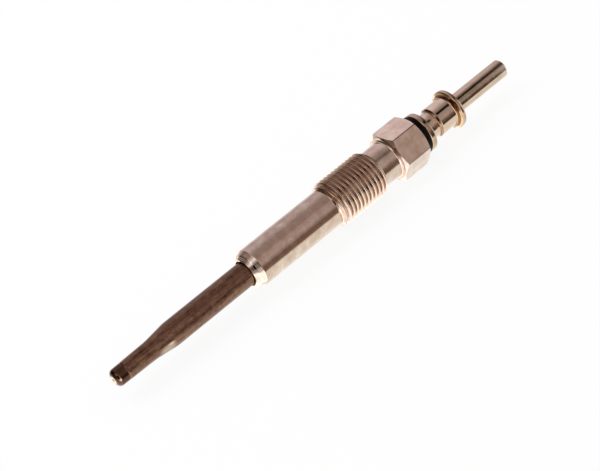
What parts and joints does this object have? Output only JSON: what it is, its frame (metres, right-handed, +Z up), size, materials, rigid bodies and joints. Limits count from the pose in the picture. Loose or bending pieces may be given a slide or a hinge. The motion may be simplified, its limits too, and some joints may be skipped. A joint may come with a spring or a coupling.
{
  "type": "diesel glow plug",
  "caption": "Slim sheathed glow plug with a threaded steel body, hexagon, conical seat, dark heater tube and a round connector pin with a collar.",
  "frame": {"origin": "on the surface the plug lies on, under the middle of its box; the plug lies on a flat of its hexagon and on the crests of its thread", "axes": "+X along the plug from the heater tip to the connector pin, +Z up, with a flat of the hexagon facing down"},
  "size_m": [0.1052, 0.0116, 0.01],
  "materials": {
    "nickel_plated_steel": "dull nickel plate over turned steel",
    "bright_nickel": "bright nickel plate over turned steel",
    "oxidised_nickel_alloy": "brown heat-oxidised nickel alloy",
    "black_polyamide": "moulded black polyamide",
    "bare_steel": "turned",
    "heating_wire": "drawn resistance wire",
    "regulating_wire": "drawn nickel wire",
    "magnesia": "packed powder",
    "seal_rubber": "moulded rubber"
  },
  "bodies": {
    "root": {"plug_body": "nickel_plated_steel", "terminal": "bright_nickel", "heater_sheath": "oxidised_nickel_alloy", "insulating_bush": "black_polyamide", "centre_electrode": "bare_steel", "heating_coil": "heating_wire", "regulating_coil": "regulating_wire", "magnesia_filling": "magnesia", "sheath_seal": "seal_rubber", "seal_ring": "seal_rubber"}
  },
  "joints": []
}
